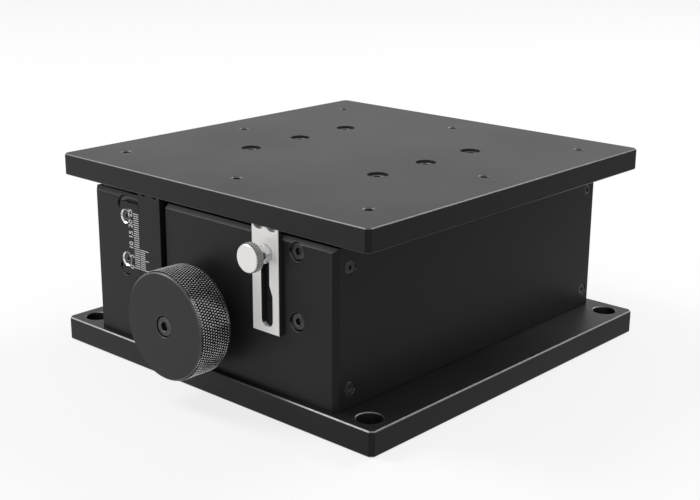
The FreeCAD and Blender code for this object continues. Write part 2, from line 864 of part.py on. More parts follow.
def thumb_screw():
    """Knurled head, collar, neck and thread, seen along -Y."""
    y = clamp_face - clamp_face_gap - clamp_washer_width
    thread_end = -body_front + thumb_thread_length
    sections = [along_y(thumb_thread, clamp_x, clamp_screw_height, y - overcut, thread_end)]
    for diameter, width in ((thumb_neck_diameter, thumb_neck_width),
                            (thumb_collar_diameter, thumb_collar_width),
                            (thumb_head_diameter, thumb_head_width)):
        sections.append(along_y(diameter, clamp_x, clamp_screw_height, y - width, y))
        y -= width
    screw = fuse(sections)
    rim_length = math.pi * thumb_head_diameter
    head_rims = [e for e in screw.Edges if e.Closed and abs(e.Length - rim_length) < touch]
    return screw.makeChamfer(thumb_head_chamfer, head_rims)


# Lead screw, its bearings and the knob

def lead_screw(rooms):
    """Front journal, collar, threaded length and rear journal on one axis."""
    collar_end = front_inner + screw_collar_width
    thread_end = rear_inner - rear_bush_flange_width - shaft_end_gap
    z = screw_height
    shaft = fuse([
        along_y(journal_diameter, 0, z, knob_bore_front + knob_bore_gap, front_inner),
        along_y(screw_collar, 0, z, front_inner, collar_end),
        along_y(screw_diameter, 0, z, collar_end, thread_end),
        along_y(journal_diameter, 0, z, thread_end, body_rear - rear_skin - shaft_end_gap),
    ])
    return cut(shaft, rooms)


def bearing():
    """Outer ring, inner ring and balls of the front bearing."""
    y0, y1 = front_inner - bearing_width, front_inner
    z = screw_height
    middle = (y0 + y1) / 2
    circle = (bearing_inner_ring + bearing_outer_ring) / 4
    race_radius = ball_diameter / 2 + roller_clearance
    race = Part.makeTorus(circle, race_radius, Vector(0, middle, z), Y_AXIS)
    inside = along_y(bearing_outer_ring, 0, z, y0 - overcut, y1 + overcut)
    bore = along_y(journal_diameter + running_fit, 0, z, y0 - overcut, y1 + overcut)
    outer = cut(along_y(bearing_outer, 0, z, y0, y1), [inside, race])
    inner = cut(along_y(bearing_inner_ring, 0, z, y0, y1), [bore, race])
    balls = []
    for k in range(ball_count):
        angle = 2 * math.pi * k / ball_count
        balls.append(Part.makeSphere(ball_diameter / 2, Vector(circle * math.cos(angle), middle,
                                                               z + circle * math.sin(angle))))
    return outer, inner, balls


def bearing_retainer(rooms):
    rear = front_inner + retainer_thickness
    disc = along_y(retainer_diameter, 0, screw_height, front_inner, rear)
    bore = along_y(retainer_bore, 0, screw_height, front_inner - overcut, rear + overcut)
    return cut(disc, [bore] + rooms)


def retainer_screws():
    seat = front_inner + retainer_thickness - low_head_sizes[m3][1]
    return screws_and_rooms(m3, retainer_screw_length, round_the_screw(retainer_circle, seat),
                            Y_AXIS, low_head_sizes, low_head_room)


def rear_bush():
    front = rear_inner - rear_bush_flange_width
    body = along_y(rear_bush_outer, 0, screw_height, rear_inner, body_rear - rear_skin)
    flange = along_y(rear_bush_flange, 0, screw_height, front, rear_inner)
    bore = along_y(journal_diameter + 2 * running_fit, 0, screw_height, front - overcut, body_rear)
    return cut(fuse([body, flange]), [bore])


def shaft_spacer():
    y0, y1 = knob_back, front_inner - bearing_width
    ring = along_y(spacer_diameter, 0, screw_height, y0, y1)
    return cut(ring, [along_y(journal_diameter + running_fit, 0, screw_height,
                              y0 - overcut, y1 + overcut)])


def hand_knob(rooms):
    knob = along_y(knob_diameter, 0, screw_height, knob_face, knob_back)
    rims = [e for e in knob.Edges if e.Closed]
    knob = knob.makeChamfer(knob_chamfer, rims)
    bore = along_y(journal_diameter + running_fit, 0, screw_height,
                   knob_bore_front, knob_back + overcut)
    return cut(knob, [bore] + rooms)


def knob_screw():
    place = [Vector(0, knob_seat, screw_height)]
    return screws_and_rooms(m5, knob_screw_length, place, -Y_AXIS, cap_sizes,
                            knob_recess_depth + overcut, knob_recess_diameter)


# Assembly

def put(name, shape):
    """Keeps a solid, or a list of separate solids, under its node's name."""
    nodes[name] = Part.makeCompound(shape) if isinstance(shape, list) else shape


def with_mirror(shapes):
    return shapes + [mirrored(s) for s in shapes]


def build_guides():
    base = base_guide()
    slope = incline_guide()
    sides = [side_guide(y) for y in (-side_rail_pitch / 2, side_rail_pitch / 2)]
    wall_screws, wall_rooms, lift_screws, lift_rooms = [], [], [], []
    for y in (-side_rail_pitch / 2, side_rail_pitch / 2):
        wall, lift = side_rail_screws(y)
        wall_screws += wall[0]
        wall_rooms += wall[1]
        lift_screws += lift[0]
        lift_rooms += lift[1]
    wall_rails = [cut(s["rail_b"], wall_rooms) for s in sides]
    lift_rails = [cut(s["rail_a"], lift_rooms) for s in sides]
    for side, turn in (("right", lambda s: s), ("left", mirrored)):
        put(side + "_base_rail", turn(base["rail_a"]))
        put(side + "_wedge_rail", turn(base["rail_b"]))
        put(side + "_wedge_incline_rail", turn(slope["rail_a"]))
        put(side + "_lift_incline_rail", turn(slope["rail_b"]))
        put(side + "_lift_upright_rails", [turn(r) for r in lift_rails])
        put(side + "_wall_upright_rails", [turn(r) for r in wall_rails])
    put("base_roller_cages", with_mirror([base["cage"]]))
    put("base_rollers", with_mirror(base["rollers"]))
    put("incline_roller_cages", with_mirror([slope["cage"]]))
    put("incline_rollers", with_mirror(slope["rollers"]))
    put("upright_roller_cages", with_mirror([s["cage"] for s in sides]))
    put("upright_rollers", with_mirror([r for s in sides for r in s["rollers"]]))
    put("base_rail_screws", with_mirror(base["screws_a"]))
    put("wedge_rail_screws", with_mirror(base["screws_b"] + slope["screws_a"]))
    put("lift_rail_screws", with_mirror(slope["screws_b"] + lift_screws))
    put("wall_rail_screws", with_mirror(wall_screws))
    return {
        "base": with_mirror(base["rooms_a"]),
        "wedge": with_mirror(base["rooms_b"] + slope["rooms_a"]),
        "lift": with_mirror(slope["rooms_b"] + lift_rooms),
        "wall": wall_rooms,
    }


def build_frame(guide_rooms):
    foot, foot_rooms = foot_screws()
    front, front_rooms = front_screws()
    rear, rear_rooms = rear_screws()
    cover, cover_rooms = cover_screws()
    retainer, retainer_rooms = retainer_screws()
    scale, scale_rooms = scale_screws()
    pockets = [wall_pocket(y) for y in (-side_rail_pitch / 2, side_rail_pitch / 2)]
    wall_rooms = foot_rooms + front_rooms + rear_rooms + guide_rooms["wall"]
    wall = side_wall(pockets, wall_rooms)
    cover_plate = side_cover(cover_rooms)
    put("base_plate", base_plate(foot_rooms + guide_rooms["base"]))
    put("front_plate", front_plate(foot_rooms + front_rooms + cover_rooms + retainer_rooms
                                   + scale_rooms))
    put("rear_plate", rear_plate(foot_rooms + rear_rooms + cover_rooms))
    put("right_side_wall", wall)
    put("left_side_wall", mirrored(wall))
    put("right_side_cover", cover_plate)
    put("left_side_cover", mirrored(cover_plate))
    put("scale_plate", scale_plate(scale_rooms))
    put("bearing_retainer", bearing_retainer(retainer_rooms))
    put("rear_bush", rear_bush())
    put("base_screws", foot)
    put("front_plate_screws", front)
    put("rear_plate_screws", rear)
    put("side_cover_screws", cover)
    put("bearing_retainer_screws", retainer)
    put("scale_screws", scale)


def build_drive(guide_rooms):
    nut, nut_rooms = nut_screws()
    knob, knob_rooms = knob_screw()
    outer, inner, balls = bearing()
    put("wedge", wedge_block(guide_rooms["wedge"] + nut_rooms))
    put("wedge_nut", wedge_nut(nut_rooms))
    put("wedge_nut_screws", nut)
    put("lead_screw", lead_screw(knob_rooms))
    put("bearing_outer_ring", outer)
    put("bearing_inner_ring", inner)
    put("bearing_balls", balls)
    put("shaft_spacer", shaft_spacer())
    put("hand_knob", hand_knob(knob_rooms))
    put("hand_knob_screw", knob)


def build_lift(guide_rooms):
    top, top_rooms = table_screws()
    bars, bar_rooms = arm_screws()
    vernier, vernier_rooms = plate_screws(vernier_x, vernier_face)
    clamp, clamp_rooms = plate_screws(clamp_x, clamp_face)
    pockets = with_mirror([cheek_pocket(y) for y in (-side_rail_pitch / 2, side_rail_pitch / 2)])
    pockets += [arm_seat(vernier_x), arm_seat(clamp_x)]
    put("lift_block", lift_block(pockets, top_rooms + bar_rooms + guide_rooms["lift"]))
    put("table", table(top_rooms))
    put("table_screws", top)
    put("vernier_arm", arm(vernier_x, vernier_back, bar_rooms + vernier_rooms))
    put("clamp_arm", arm(clamp_x, clamp_back, bar_rooms + clamp_rooms))
    put("arm_screws", bars)
    put("vernier_plate", vernier_plate(vernier_rooms))
    put("vernier_plate_screws", vernier)
    put("clamp_plate", clamp_plate(clamp_rooms))
    put("clamp_plate_screws", clamp)
    put("clamp_washer", clamp_washer())
    put("clamp_thumb_screw", thumb_screw())


def main():
    guide_rooms = build_guides()
    build_frame(guide_rooms)
    build_drive(guide_rooms)
    build_lift(guide_rooms)
    for name, shape in nodes.items():
        shape.exportStep("parts/" + name + ".step")
        print(name, "solids", len(shape.Solids), "valid", shape.isValid(),
              "volume", round(shape.Volume, 1))
    print(len(nodes), "nodes")


main()
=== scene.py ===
import bpy
import bmesh
import math
from mathutils import Euler, Matrix, Vector


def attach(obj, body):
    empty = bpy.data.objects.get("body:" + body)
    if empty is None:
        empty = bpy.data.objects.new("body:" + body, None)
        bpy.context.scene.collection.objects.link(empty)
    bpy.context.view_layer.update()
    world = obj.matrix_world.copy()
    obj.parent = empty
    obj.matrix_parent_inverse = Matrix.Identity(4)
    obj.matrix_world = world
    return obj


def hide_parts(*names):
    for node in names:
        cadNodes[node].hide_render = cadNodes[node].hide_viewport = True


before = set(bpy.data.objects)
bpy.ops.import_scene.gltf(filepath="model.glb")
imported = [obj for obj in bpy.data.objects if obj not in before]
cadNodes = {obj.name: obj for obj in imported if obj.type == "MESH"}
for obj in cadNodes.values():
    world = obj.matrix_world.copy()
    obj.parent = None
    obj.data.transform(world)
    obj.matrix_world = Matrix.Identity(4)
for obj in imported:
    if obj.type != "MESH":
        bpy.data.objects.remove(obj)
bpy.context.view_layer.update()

mm = 0.001
smoothBelow = 28.0     # degrees between two faces that are shaded as one
print("frame loaded,", len(cadNodes), "nodes")


# Selecting, naming and joining

def clearSelection():
    active = bpy.context.view_layer.objects.active
    if active and active.mode != "OBJECT":
        bpy.ops.object.mode_set(mode="OBJECT")
    bpy.ops.object.select_all(action="DESELECT")


def selectOnly(*pieces):
    clearSelection()
    for piece in pieces:
        piece.select_set(True)
    bpy.context.view_layer.objects.active = pieces[0]


def startPiece(name):
    # names the primitive that was just added and puts its place in its mesh
    piece = bpy.context.active_object
    piece.name = name
    piece.data.name = name
    bpy.ops.object.transform_apply(location=True, rotation=True, scale=True)
    return piece


def chooseFaces(piece, wanted):
    # leaves only the wanted faces selected, in edit mode
    bpy.ops.mesh.select_mode(type="FACE")
    bpy.ops.mesh.select_all(action="DESELECT")
    mesh = bmesh.from_edit_mesh(piece.data)
    for face in mesh.faces:
        face.select_set(bool(wanted(face)))
    mesh.select_flush_mode()
    bmesh.update_edit_mesh(piece.data)


def chooseEdges(piece, wanted):
    bpy.ops.mesh.select_mode(type="EDGE")
    bpy.ops.mesh.select_all(action="DESELECT")
    mesh = bmesh.from_edit_mesh(piece.data)
    for edge in mesh.edges:
        edge.select_set(bool(wanted(edge)))
    mesh.select_flush_mode()
    bmesh.update_edit_mesh(piece.data)


def joinPieces(pieces, name):
    selectOnly(*pieces)
    bpy.ops.object.join()
    joined = bpy.context.view_layer.objects.active
    joined.name = name
    joined.data.name = name
    return joined


def smoothPiece(piece):
    selectOnly(piece)
    bpy.ops.object.shade_smooth_by_angle(angle=math.radians(smoothBelow))


# Effects shared by the finishes

effects = {
    "cloudsPerLine": 0.06,                       # a machined face's clouds, as a share of its lines
    "leastWearAndHighlight": 0.75, "wearAndHighlightSpread": 0.5,        # how evenly the bright metal and the painted edge highlight show
    "sideLow": 0.75, "sideHigh": 0.9,            # how squarely a side with painted shade looks along its axis
    "noiseLow": 0.3, "noiseHigh": 0.7,           # the range that a noise mostly keeps to
}


def newGroup(name, inputs, outputs):
    group = bpy.data.node_groups.new(name, "ShaderNodeTree")
    for label, kind, value in inputs:
        socket = group.interface.new_socket(name=label, in_out="INPUT", socket_type=kind)
        if value is not None:
            socket.default_value = value
    for label, kind in outputs:
        group.interface.new_socket(name=label, in_out="OUTPUT", socket_type=kind)
    start = group.nodes.new("NodeGroupInput")
    end = group.nodes.new("NodeGroupOutput")
    return group, start, end


def smoothStep(tree, value, start, end):
    # rises from 0 to 1 between start and end, and falls where end is the smaller
    step = tree.nodes.new("ShaderNodeMapRange")
    step.interpolation_type = "SMOOTHSTEP"
    step.inputs["From Min"].default_value = start
    step.inputs["From Max"].default_value = end
    tree.links.new(value, step.inputs["Value"])
    return step.outputs["Result"]


def newMath(tree, operation, first, second=0.0):
    node = tree.nodes.new("ShaderNodeMath")
    node.operation = operation
    for socket, value in zip(node.inputs, (first, second)):
        if isinstance(value, bpy.types.NodeSocket):
            tree.links.new(value, socket)
        else:
            socket.default_value = value
    return node.outputs[0]


def scaledNoise(tree, place, perMetre, detail, roughness):
    noise = tree.nodes.new("ShaderNodeTexNoise")
    noise.inputs["Detail"].default_value = detail
    noise.inputs["Roughness"].default_value = roughness
    tree.links.new(place, noise.inputs["Vector"])
    tree.links.new(perMetre, noise.inputs["Scale"])
    return noise.outputs["Fac"]


def makeBlastedGrain():
    # bead-blasted skin: fine pits, and slow cloudy patches
    group, start, end = newGroup("blastedGrain", [
        ("Vector", "NodeSocketVector", None),
        ("Pits Per Metre", "NodeSocketFloat", 2600.0),
        ("Clouds Per Metre", "NodeSocketFloat", 26.0),
    ], [("Pits", "NodeSocketFloat"), ("Clouds", "NodeSocketFloat")])
    place = start.outputs["Vector"]
    pits = scaledNoise(group, place, start.outputs["Pits Per Metre"], detail=2.0, roughness=0.6)
    clouds = scaledNoise(group, place, start.outputs["Clouds Per Metre"], detail=4.0, roughness=0.55)
    group.links.new(pits, end.inputs["Pits"])
    group.links.new(clouds, end.inputs["Clouds"])
    return group


def makeMachinedGrain():
    # fine parallel cutter or brush lines along one axis, with a slow change of tone
    group, start, end = newGroup("machinedGrain", [
        ("Vector", "NodeSocketVector", None),
        ("Lines Per Metre", "NodeSocketFloat", 900.0),
    ], [("Lines", "NodeSocketFloat"), ("Clouds", "NodeSocketFloat")])
    place = start.outputs["Vector"]
    lines = scaledNoise(group, place, start.outputs["Lines Per Metre"], detail=3.0, roughness=0.65)
    cloudScale = newMath(group, "MULTIPLY", start.outputs["Lines Per Metre"], effects["cloudsPerLine"])
    clouds = scaledNoise(group, place, cloudScale, detail=2.0, roughness=0.5)
    group.links.new(lines, end.inputs["Lines"])
    group.links.new(clouds, end.inputs["Clouds"])
    return group


def alongAxis(group, start):
    # how squarely a face looks along the given axis, either way
    geometry = group.nodes.new("ShaderNodeNewGeometry")
    dot = group.nodes.new("ShaderNodeVectorMath")
    dot.operation = "DOT_PRODUCT"
    group.links.new(geometry.outputs["True Normal"], dot.inputs[0])
    group.links.new(start.outputs["Axis"], dot.inputs[1])
    return newMath(group, "ABSOLUTE", dot.outputs["Value"])


wearAndHighlightBands = {
    "slantLow": (0.20, 0.32), "slantHigh": (0.97, 0.93),     # faces that lean, seen along the axis
    "cutLow": (0.64, 0.68), "cutHigh": (0.77, 0.73),         # of these, the ones cut at 45 degrees
}


def makeEdgeWear():
    # bright metal on leaning faces, partly wear and partly a painted highlight along the edges that
    # lean to the axis: broken edges by one gain, 45 degree chamfers by the other
    group, start, end = newGroup("edgeWearAndHighlight", [
        ("Vector", "NodeSocketVector", None),
        ("Axis", "NodeSocketVector", (0.0, 0.0, 1.0)),
        ("Breaks Per Metre", "NodeSocketFloat", 420.0),
        ("Edge Gain", "NodeSocketFloat", 1.0),
        ("Chamfer Gain", "NodeSocketFloat", 0.0),
    ], [("Wear And Highlight", "NodeSocketFloat"), ("Chamfer", "NodeSocketFloat")])
    facing = alongAxis(group, start)
    slant = newMath(group, "MULTIPLY", smoothStep(group, facing, *wearAndHighlightBands["slantLow"]),
                    smoothStep(group, facing, *wearAndHighlightBands["slantHigh"]))
    chamfer = newMath(group, "MULTIPLY", smoothStep(group, facing, *wearAndHighlightBands["cutLow"]),
                      smoothStep(group, facing, *wearAndHighlightBands["cutHigh"]))
    edge = newMath(group, "SUBTRACT", slant, chamfer)
    bareAndHighlitEdge = newMath(group, "MULTIPLY", edge, start.outputs["Edge Gain"])
    bareAndHighlitChamfer = newMath(group, "MULTIPLY", chamfer, start.outputs["Chamfer Gain"])
    bareAndHighlit = newMath(group, "ADD", bareAndHighlitEdge, bareAndHighlitChamfer)
    breaks = scaledNoise(group, start.outputs["Vector"], start.outputs["Breaks Per Metre"],
                         detail=3.0, roughness=0.6)
    broken = newMath(group, "MULTIPLY", breaks, effects["wearAndHighlightSpread"])
    wornAndHighlit = newMath(group, "MULTIPLY", bareAndHighlit, newMath(group, "ADD", broken, effects["leastWearAndHighlight"]))
    wornAndHighlit.node.use_clamp = True
    group.links.new(wornAndHighlit, end.inputs["Wear And Highlight"])
    group.links.new(chamfer, end.inputs["Chamfer"])
    return group


def makeSideShade():
    # 1 on faces that look along the axis: a painted shade for these sides, standing in for the dark
    #                                      they mirror
    group, start, end = newGroup("sideShade", [
        ("Axis", "NodeSocketVector", (1.0, 0.0, 0.0)),
    ], [("Shade", "NodeSocketFloat")])
    shade = smoothStep(group, alongAxis(group, start), effects["sideLow"], effects["sideHigh"])
    group.links.new(shade, end.inputs["Shade"])
    return group


blastedGrain = makeBlastedGrain()
machinedGrain = makeMachinedGrain()
edgeWearAndHighlight = makeEdgeWear()
sideShade = makeSideShade()


# Finishes

def placeGroup(tree, group, values):
    node = tree.nodes.new("ShaderNodeGroup")
    node.node_tree = group
    for label, value in values.items():
        node.inputs[label].default_value = value
    return node


def newFinish(name, shader):
    material = bpy.data.materials.new(name)
    material.use_nodes = True
    tree = material.node_tree
    surface = tree.nodes["Principled BSDF"]
    for label, value in shader.items():
        surface.inputs[label].default_value = value
    coordinates = tree.nodes.new("ShaderNodeTexCoord")
    mapping = tree.nodes.new("ShaderNodeMapping")
    tree.links.new(coordinates.outputs["Object"], mapping.inputs["Vector"])
    return material, tree, surface, mapping


def spread(tree, noise, low, high, target):
    # takes the noise's usual range to a value between low and high
    ranged = tree.nodes.new("ShaderNodeMapRange")
    ranged.inputs["From Min"].default_value = effects["noiseLow"]
    ranged.inputs["From Max"].default_value = effects["noiseHigh"]
    ranged.inputs["To Min"].default_value = low
    ranged.inputs["To Max"].default_value = high
    tree.links.new(noise, ranged.inputs["Value"])
    tree.links.new(ranged.outputs["Result"], target)


def blendColours(tree, factor, colourA, colourB):
    mix = tree.nodes.new("ShaderNodeMix")
    mix.data_type = "RGBA"
    tree.links.new(factor, mix.inputs["Factor"])
    for socket, colour in ((mix.inputs["A"], colourA), (mix.inputs["B"], colourB)):
        if isinstance(colour, bpy.types.NodeSocket):
            tree.links.new(colour, socket)
        else:
            socket.default_value = (*colour, 1.0)
    return mix.outputs["Result"]


def bumpFrom(tree, height, look, surface):
    bump = tree.nodes.new("ShaderNodeBump")
    bump.inputs["Strength"].default_value = look["bump"]
    bump.inputs["Distance"].default_value = look["bumpDepth"] * mm
    tree.links.new(height, bump.inputs["Height"])
    tree.links.new(bump.outputs["Normal"], surface.inputs["Normal"])


def makeAnodised(name, look):
    # dyed anodised aluminium over a blasted surface, with the metal bare at its edges, where it also
    # serves as a painted highlight
    material, tree, surface, mapping = newFinish(name, {
        "IOR": look["ior"], "Specular IOR Level": look["specular"]})
    grain = placeGroup(tree, blastedGrain, {
        "Pits Per Metre": look["pits"], "Clouds Per Metre": look["clouds"]})
    wearAndHighlight = placeGroup(tree, edgeWearAndHighlight, {
        "Breaks Per Metre": look["breaks"], "Edge Gain": look["wearAndHighlight"],
        "Chamfer Gain": look["chamfer"], "Axis": look["axis"]})
    tree.links.new(mapping.outputs["Vector"], grain.inputs["Vector"])
    tree.links.new(mapping.outputs["Vector"], wearAndHighlight.inputs["Vector"])
    faceColour = blendColours(tree, grain.outputs["Clouds"], look["dark"], look["light"])
    # on the front plate, a lighter colour on the 45 degree chamfers: painted light on the top chamfer
    # that lies in the table's shadow
    if "cut" in look:
        faceColour = blendColours(tree, wearAndHighlight.outputs["Chamfer"], faceColour, look["cut"])
    # bright metal on leaning edges and chamfers, partly wear and partly a painted highlight
    wornAndHighlit = blendColours(tree, wearAndHighlight.outputs["Wear And Highlight"], faceColour, look["edge"])
    tree.links.new(wornAndHighlit, surface.inputs["Base Color"])
    tree.links.new(wearAndHighlight.outputs["Wear And Highlight"], surface.inputs["Metallic"])
    spread(tree, grain.outputs["Clouds"], look["smooth"], look["rough"], surface.inputs["Roughness"])
    bumpFrom(tree, grain.outputs["Pits"], look, surface)
    return material


def makeMetal(name, look):
    # bare metal with fine lines, stretched along the lay
    material, tree, surface, mapping = newFinish(name, {"Metallic": look["metallic"]})
    mapping.inputs["Scale"].default_value = look["lay"]
    grain = placeGroup(tree, machinedGrain, {"Lines Per Metre": look["lines"]})
    tree.links.new(mapping.outputs["Vector"], grain.inputs["Vector"])
    tone = blendColours(tree, grain.outputs["Clouds"], look["dark"], look["light"])
    # a painted shade on the sides that look along the axis
    if "side" in look:
        shade = placeGroup(tree, sideShade, {"Axis": look["sideAxis"]})
        tone = blendColours(tree, shade.outputs["Shade"], tone, look["side"])
    tree.links.new(tone, surface.inputs["Base Color"])
    spread(tree, grain.outputs["Lines"], look["smooth"], look["rough"], surface.inputs["Roughness"])
    bumpFrom(tree, grain.outputs["Lines"], look, surface)
    return material


def makePaint(name, look):
    # the white that fills an engraving
    material, tree, surface, mapping = newFinish(name, {})
    grain = placeGroup(tree, blastedGrain, {
        "Pits Per Metre": look["pits"], "Clouds Per Metre": look["clouds"]})
    tree.links.new(mapping.outputs["Vector"], grain.inputs["Vector"])
    tone = blendColours(tree, grain.outputs["Clouds"], look["dark"], look["light"])
    tree.links.new(tone, surface.inputs["Base Color"])
    spread(tree, grain.outputs["Clouds"], look["smooth"], look["rough"], surface.inputs["Roughness"])
    bumpFrom(tree, grain.outputs["Pits"], look, surface)
    return material


axes = {"x": (1.0, 0.0, 0.0), "y": (0.0, 1.0, 0.0), "z": (0.0, 0.0, 1.0)}
# edge: the colour of bare metal at worn edges, which also serves as a painted highlight along the
# edges and 45 degree chamfers that lean to the axis
anodisedLook = {
    "dark": (0.0085, 0.0085, 0.0088), "light": (0.0115, 0.0115, 0.0118), "edge": (0.20, 0.20, 0.202),
    "smooth": 0.40, "rough": 0.47, "ior": 1.5, "specular": 0.22, "pits": 2600.0, "clouds": 24.0,
    "bump": 0.35, "bumpDepth": 0.03, "breaks": 380.0, "wearAndHighlight": 1.0, "chamfer": 0.09, "axis": axes["z"],
}
oxideLook = dict(
    anodisedLook, dark=(0.018, 0.017, 0.016), light=(0.026, 0.025, 0.024), edge=(0.22, 0.215, 0.21),
    smooth=0.26, rough=0.36, pits=4200.0, clouds=260.0, bump=0.25, specular=0.5, chamfer=0.3)
metalLook = {
    "lay": (1.0, 1.0, 1.0), "lines": 1800.0, "bump": 0.03, "bumpDepth": 0.01, "metallic": 1.0,
}
anodisedLooks = {
    "oxideAlongX": dict(oxideLook, axis=axes["x"]),
    "oxideAlongY": dict(oxideLook, axis=axes["y"]),
    "oxideAlongZ": oxideLook,
    "blackPlate": anodisedLook,
    "blackTable": dict(anodisedLook, clouds=15.0, smooth=0.42, wearAndHighlight=0.09, chamfer=0.55),
    "blackBase": dict(anodisedLook, wearAndHighlight=0.8, chamfer=0.9),
    # cut: a painted light on the 45 degree chamfers, for the top chamfer that lies in the table's
    # shadow
    "blackFront": dict(anodisedLook, cut=(0.13, 0.13, 0.131)),
    "blackKnob": dict(
        anodisedLook, dark=(0.019, 0.019, 0.0195), light=(0.025, 0.025, 0.0255),
        smooth=0.38, rough=0.44, axis=axes["y"], chamfer=0.35),
    "blackInner": dict(anodisedLook, clouds=60.0, smooth=0.5, rough=0.6),
    # the knurl's flanks, darker than the knob: a painted shade in the knurl's valleys
    "blackKnurlPaintedShade": dict(
        anodisedLook, dark=(0.003, 0.003, 0.003), light=(0.005, 0.005, 0.005),
        specular=0.15, wearAndHighlight=0.0, chamfer=0.0),
}
metalLooks = {
    "brightCut": dict(
        metalLook, dark=(0.66, 0.66, 0.665), light=(0.84, 0.84, 0.845),
        smooth=0.18, rough=0.26, lines=900.0),
    "stainless": dict(
        metalLook, dark=(0.83, 0.815, 0.795), light=(0.87, 0.855, 0.84),
        smooth=0.30, rough=0.36, lay=(1.0, 1.0, 0.1), metallic=0.6),
    # the thumb screw's knurl flanks: a painted shade, dark strokes in the knurl's valleys
    "stainlessKnurlPaintedShade": dict(
        metalLook, dark=(0.04, 0.039, 0.037), light=(0.07, 0.068, 0.066),
        smooth=0.34, rough=0.44, metallic=0.8),
    # side: a painted shade on the clamp plate's sides and slot, which look along X
    "clampSteel": dict(
        metalLook, dark=(0.87, 0.855, 0.835), light=(0.91, 0.895, 0.88), side=(0.03, 0.029, 0.028),
        sideAxis=axes["x"], smooth=0.28, rough=0.34, lay=(1.0, 1.0, 0.1), metallic=0.25),
    "polished": dict(
        metalLook, dark=(0.46, 0.455, 0.45), light=(0.56, 0.555, 0.55),
        smooth=0.16, rough=0.24, lines=1500.0, bump=0.05),
    "groundSteel": dict(
        metalLook, dark=(0.52, 0.52, 0.53), light=(0.62, 0.62, 0.63),
        smooth=0.22, rough=0.34, lay=(1.0, 0.05, 1.0), bump=0.15),
    "brass": dict(
        metalLook, dark=(0.70, 0.52, 0.24), light=(0.80, 0.62, 0.32),
        smooth=0.26, rough=0.38, lay=(1.0, 0.1, 1.0), lines=1400.0, bump=0.15),
    "bronze": dict(
        metalLook, dark=(0.55, 0.36, 0.18), light=(0.66, 0.46, 0.25),
        smooth=0.28, rough=0.42, lines=900.0, bump=0.2),
}
paintLooks = {
    "whiteFill": {
        "dark": (0.62, 0.62, 0.61), "light": (0.78, 0.78, 0.77), "smooth": 0.5, "rough": 0.65,
        "pits": 5200.0, "clouds": 300.0, "bump": 0.2, "bumpDepth": 0.01,
    },
}
finishes = {}
for maker, looks in ((makeAnodised, anodisedLooks), (makeMetal, metalLooks), (makePaint, paintLooks)):
    for name, look in looks.items():
        finishes[name] = maker(name, look)

nodeFinish = {
    "blackTable": ["table"],
    "blackBase": ["base_plate"],
    "blackFront": ["front_plate"],
    "blackPlate": ["rear_plate", "left_side_cover", "right_side_cover",
                   "scale_plate", "vernier_plate"],
    "blackInner": ["left_side_wall", "right_side_wall", "lift_block", "wedge",
                   "vernier_arm", "clamp_arm"],
    "blackKnob": ["hand_knob"],
    "oxideAlongX": ["side_cover_screws"],
    "oxideAlongY": ["front_plate_screws", "rear_plate_screws", "hand_knob_screw",
                    "vernier_plate_screws", "clamp_plate_screws", "scale_screws"],
    "oxideAlongZ": ["table_screws", "base_screws", "arm_screws"],
    "stainless": ["clamp_thumb_screw"],
    "brightCut": ["clamp_washer"],
    "clampSteel": ["clamp_plate"],
    "polished": ["bearing_balls", "base_rollers", "incline_rollers", "upright_rollers"],
    "brass": ["base_roller_cages", "incline_roller_cages", "upright_roller_cages"],
    "bronze": ["wedge_nut", "rear_bush"],
}
finishOf = {name: finish for finish, names in nodeFinish.items() for name in names}
for name, node in cadNodes.items():
    # rails, rings and all that isn't listed are ground steel
    node.data.materials.clear()
    node.data.materials.append(finishes[finishOf.get(name, "groundSteel")])
print("finishes placed on", len(cadNodes), "nodes")


# Broken edges on the CAD pieces that show

softEdges = {
    "table": 0.22, "base_plate": 0.30, "front_plate": 0.15, "rear_plate": 0.12,
    "left_side_cover": 0.12, "right_side_cover": 0.12, "scale_plate": 0.08, "vernier_plate": 0.18,
    "clamp_plate": 0.08, "table_screws": 0.12, "front_plate_screws": 0.12, "rear_plate_screws": 0.12,
    "side_cover_screws": 0.1, "hand_knob_screw": 0.12, "scale_screws": 0.12,
    "vernier_plate_screws": 0.08, "clamp_plate_screws": 0.08, "lift_block": 0.15, "clamp_washer": 0.08,
}
edgeBreak = {"weld": 0.0005, "flatBelow": 0.5, "sharpAbove": 35.0, "segments": 2}     # mm and degrees


def breakEdges(node, width):
    weld = node.modifiers.new("weld", "WELD")
    weld.merge_threshold = edgeBreak["weld"] * mm
    flat = node.modifiers.new("flat", "DECIMATE")
    flat.decimate_type = "DISSOLVE"
    flat.angle_limit = math.radians(edgeBreak["flatBelow"])
    bevel = node.modifiers.new("edges", "BEVEL")
    bevel.width = width * mm
    bevel.segments = edgeBreak["segments"]
    bevel.limit_method = "ANGLE"
    bevel.angle_limit = math.radians(edgeBreak["sharpAbove"])
    bevel.harden_normals = True
    bevel.use_clamp_overlap = True


for name, width in softEdges.items():
    breakEdges(cadNodes[name], width)
print("edges broken on", len(softEdges), "nodes")


# Drums along Y, turned in steps, and the knurled band round them

turning = {
    "slack": 0.001,                       # mm, within which two places are the same
    "sideways": 0.1, "endways": 0.9,      # how far a side's or an end's normal lies along Y
    "turnedBelow": 0.5,                   # a turned side's lies less far along it, a chamfer's further
    "leastCorners": 9,                    # of the face that closes a drum
    "bandLip": 0.05,                      # mm inside the valley where the band begins
}


def addRound(name, radius, front, rear, centre, segments):
    # a drum along Y from front to rear, in mm
    clearSelection()
    bpy.ops.mesh.primitive_cylinder_add(
        vertices=segments, radius=radius * mm, depth=(rear - front) * mm, end_fill_type="NGON",
        location=(centre[0] * mm, (front + rear) / 2 * mm, centre[1] * mm),
        rotation=(math.pi / 2, 0, 0))
    return startPiece(name)


def isSide(face):
    return abs(face.normal.y) < turning["sideways"]


def isEnd(face, side):
    return len(face.verts) >= turning["leastCorners"] and face.normal.y * side > turning["endways"]


